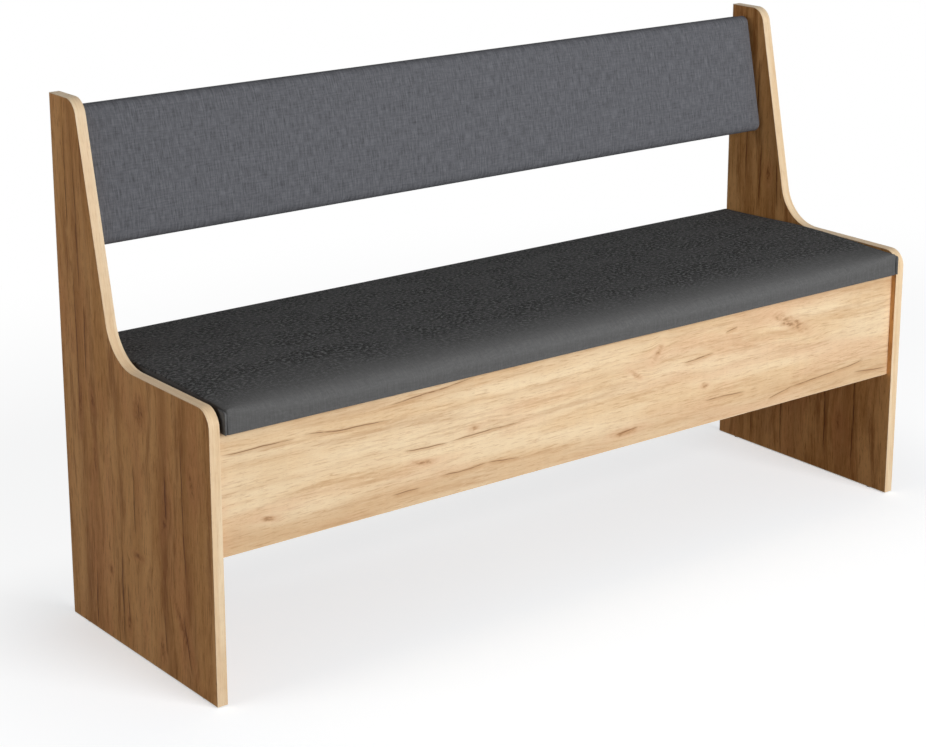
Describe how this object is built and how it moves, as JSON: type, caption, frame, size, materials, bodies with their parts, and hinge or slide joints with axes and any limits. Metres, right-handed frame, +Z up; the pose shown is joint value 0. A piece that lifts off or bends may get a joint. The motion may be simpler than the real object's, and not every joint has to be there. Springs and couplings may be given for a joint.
{
  "type": "dining bench",
  "caption": "Dining bench with oak-decor side panels, a storage chest under a hinged upholstered seat, and a slanted upholstered backrest.",
  "frame": {"origin": "on the floor, under the middle of the whole bench's box", "axes": "+X along the bench to the right seen from the front, +Y to the back, +Z up"},
  "size_m": [1.5, 0.4576, 0.88],
  "materials": {
    "oak_decor": "matte",
    "oak_edge_band": "matte",
    "hardboard": "matte",
    "raw_chipboard": "matte",
    "upholstery_foam": "matte",
    "seat_fabric": "matte",
    "backrest_fabric": "matte",
    "black_lining": "matte",
    "beech": "matte",
    "zinc_cast": "satin",
    "galvanised_steel": "satin",
    "glide_plastic": "matte"
  },
  "bodies": {
    "frame": {"left_side_panel": "oak_decor", "right_side_panel": "oak_decor", "front_panel": "oak_decor", "back_panel": "oak_decor", "centre_stretcher": "oak_decor", "left_side_edge_band": "oak_edge_band", "right_side_edge_band": "oak_edge_band", "front_panel_edge_bands": "oak_edge_band", "back_panel_edge_bands": "oak_edge_band", "bottom_panel": "hardboard", "backrest_board": "raw_chipboard", "backrest_foam": "upholstery_foam", "backrest_cover": "backrest_fabric", "backrest_rear_lining": "black_lining", "wood_dowels": "beech", "cam_housings": "zinc_cast", "cam_bolts": "galvanised_steel", "bracket_screws": "galvanised_steel", "hinge_frame_screws": "galvanised_steel", "backrest_staples": "galvanised_steel", "left_lower_bracket": "galvanised_steel", "left_upper_bracket": "galvanised_steel", "right_lower_bracket": "galvanised_steel", "right_upper_bracket": "galvanised_steel", "left_hinge_fixed_leaf": "galvanised_steel", "left_hinge_pin": "galvanised_steel", "centre_hinge_fixed_leaf": "galvanised_steel", "centre_hinge_pin": "galvanised_steel", "right_hinge_fixed_leaf": "galvanised_steel", "right_hinge_pin": "galvanised_steel", "floor_glides": "glide_plastic"},
    "seat_lid": {"seat_board": "raw_chipboard", "seat_foam": "upholstery_foam", "seat_cover": "seat_fabric", "seat_underside_lining": "black_lining", "hinge_lid_screws": "galvanised_steel", "seat_staples": "galvanised_steel", "left_hinge_lid_leaf": "galvanised_steel", "centre_hinge_lid_leaf": "galvanised_steel", "right_hinge_lid_leaf": "galvanised_steel"}
  },
  "joints": [
    {"name": "seat_lid_hinge", "type": "hinge", "parent": "frame", "child": "seat_lid", "pos_m": [0, 0.22155, 0.4307], "axis": [-1, 0, 0], "range_deg": [0, 55]}
  ]
}
